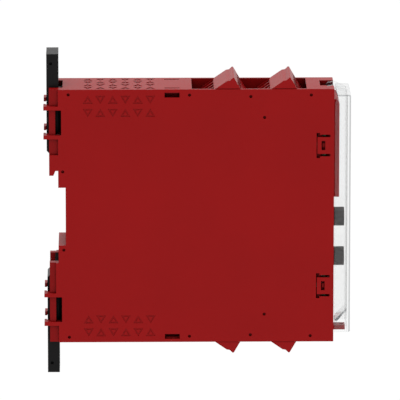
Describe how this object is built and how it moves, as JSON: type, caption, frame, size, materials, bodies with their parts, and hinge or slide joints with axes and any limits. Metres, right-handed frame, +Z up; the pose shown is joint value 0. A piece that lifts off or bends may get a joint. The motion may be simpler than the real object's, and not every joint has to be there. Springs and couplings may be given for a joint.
{
  "type": "safety relay",
  "caption": "Narrow rail-mounted safety relay with a flat red housing, pluggable tilted terminals, pull-out mounting sliders and a hinged clear cover over two selectors.",
  "frame": {"origin": "midway between the panel screw holes, on the rear faces of the two mounting sliders", "axes": "+X out of the front of the device, +Z up, Y across its width"},
  "size_m": [0.1195, 0.0226, 0.1274],
  "materials": {
    "housing_red": "fine moulded red plastic, satin",
    "plug_red": "moulded red plastic, satin",
    "slider_black": "moulded black plastic, satin",
    "clear_plastic": "clear polished plastic",
    "knob_grey": "dark grey moulded plastic",
    "switch_black": "black moulded plastic",
    "board_green": "green solder mask on laminate",
    "relay_case": "sealed moulded case",
    "can_aluminium": "drawn can",
    "core_grey": "sintered ferrite",
    "plated_steel": "zinc plated",
    "plated_brass": "tin plated",
    "lamp_white": "lamp lens"
  },
  "bodies": {
    "housing": {"housing_shell": "housing_red", "side_cover": "housing_red", "front_panel": "housing_red", "rotary_switch_upper": "switch_black", "rotary_switch_lower": "switch_black", "rail_foot": "slider_black", "main_board": "board_green", "front_board": "board_green", "safety_relay_upper": "relay_case", "safety_relay_lower": "relay_case", "electrolytic_capacitors": "can_aluminium", "converter_transformer": "core_grey", "fuse": "relay_case", "controllers": "switch_black", "status_lamps": "lamp_white", "light_guide": "clear_plastic", "terminal_board_top": "board_green", "terminal_board_bottom": "board_green", "header_pins_top_rear": "plated_brass", "header_pins_top_front": "plated_brass", "header_pins_bottom_rear": "plated_brass", "header_pins_bottom_front": "plated_brass", "pin_header_top_rear": "switch_black", "pin_header_top_front": "switch_black", "pin_header_bottom_rear": "switch_black", "pin_header_bottom_front": "switch_black"},
    "cover": {"clear_cover": "clear_plastic"},
    "knob_upper": {"selector_knob_upper": "knob_grey"},
    "knob_lower": {"selector_knob_lower": "knob_grey"},
    "slider_top": {"mounting_slider_top": "slider_black"},
    "slider_bottom": {"mounting_slider_bottom": "slider_black"},
    "plug_top_rear": {"terminal_plug_top_rear": "plug_red", "clamp_screws_top_rear": "plated_steel", "clamp_contacts_top_rear": "plated_steel"},
    "plug_top_front": {"terminal_plug_top_front": "plug_red", "clamp_screws_top_front": "plated_steel", "clamp_contacts_top_front": "plated_steel"},
    "plug_bottom_rear": {"terminal_plug_bottom_rear": "plug_red", "clamp_screws_bottom_rear": "plated_steel", "clamp_contacts_bottom_rear": "plated_steel"},
    "plug_bottom_front": {"terminal_plug_bottom_front": "plug_red", "clamp_screws_bottom_front": "plated_steel", "clamp_contacts_bottom_front": "plated_steel"}
  },
  "joints": [
    {"name": "cover_hinge", "type": "hinge", "parent": "housing", "child": "cover", "pos_m": [0.11, 0, 0.0489], "axis": [0, -1, 0], "range_deg": [0, 95]},
    {"name": "knob_upper_turn", "type": "hinge", "parent": "housing", "child": "knob_upper", "pos_m": [0.1118, 0, -0.00275], "axis": [1, 0, 0], "range_deg": [0, 270]},
    {"name": "knob_lower_turn", "type": "hinge", "parent": "housing", "child": "knob_lower", "pos_m": [0.1118, 0, -0.01865], "axis": [1, 0, 0], "range_deg": [0, 270]},
    {"name": "slider_top_slide", "type": "slide", "parent": "housing", "child": "slider_top", "axis": [0, 0, -1], "range_m": [0, 0.008]},
    {"name": "slider_bottom_slide", "type": "slide", "parent": "housing", "child": "slider_bottom", "axis": [0, 0, 1], "range_m": [0, 0.008]},
    {"name": "plug_top_rear_pull", "type": "slide", "parent": "housing", "child": "plug_top_rear", "axis": [-0.5678, 0, 0.8231], "range_m": [0, 0.01]},
    {"name": "plug_top_front_pull", "type": "slide", "parent": "housing", "child": "plug_top_front", "axis": [-0.5678, 0, 0.8231], "range_m": [0, 0.01]},
    {"name": "plug_bottom_rear_pull", "type": "slide", "parent": "housing", "child": "plug_bottom_rear", "axis": [-0.5678, 0, -0.8231], "range_m": [0, 0.01]},
    {"name": "plug_bottom_front_pull", "type": "slide", "parent": "housing", "child": "plug_bottom_front", "axis": [-0.5678, 0, -0.8231], "range_m": [0, 0.01]}
  ]
}
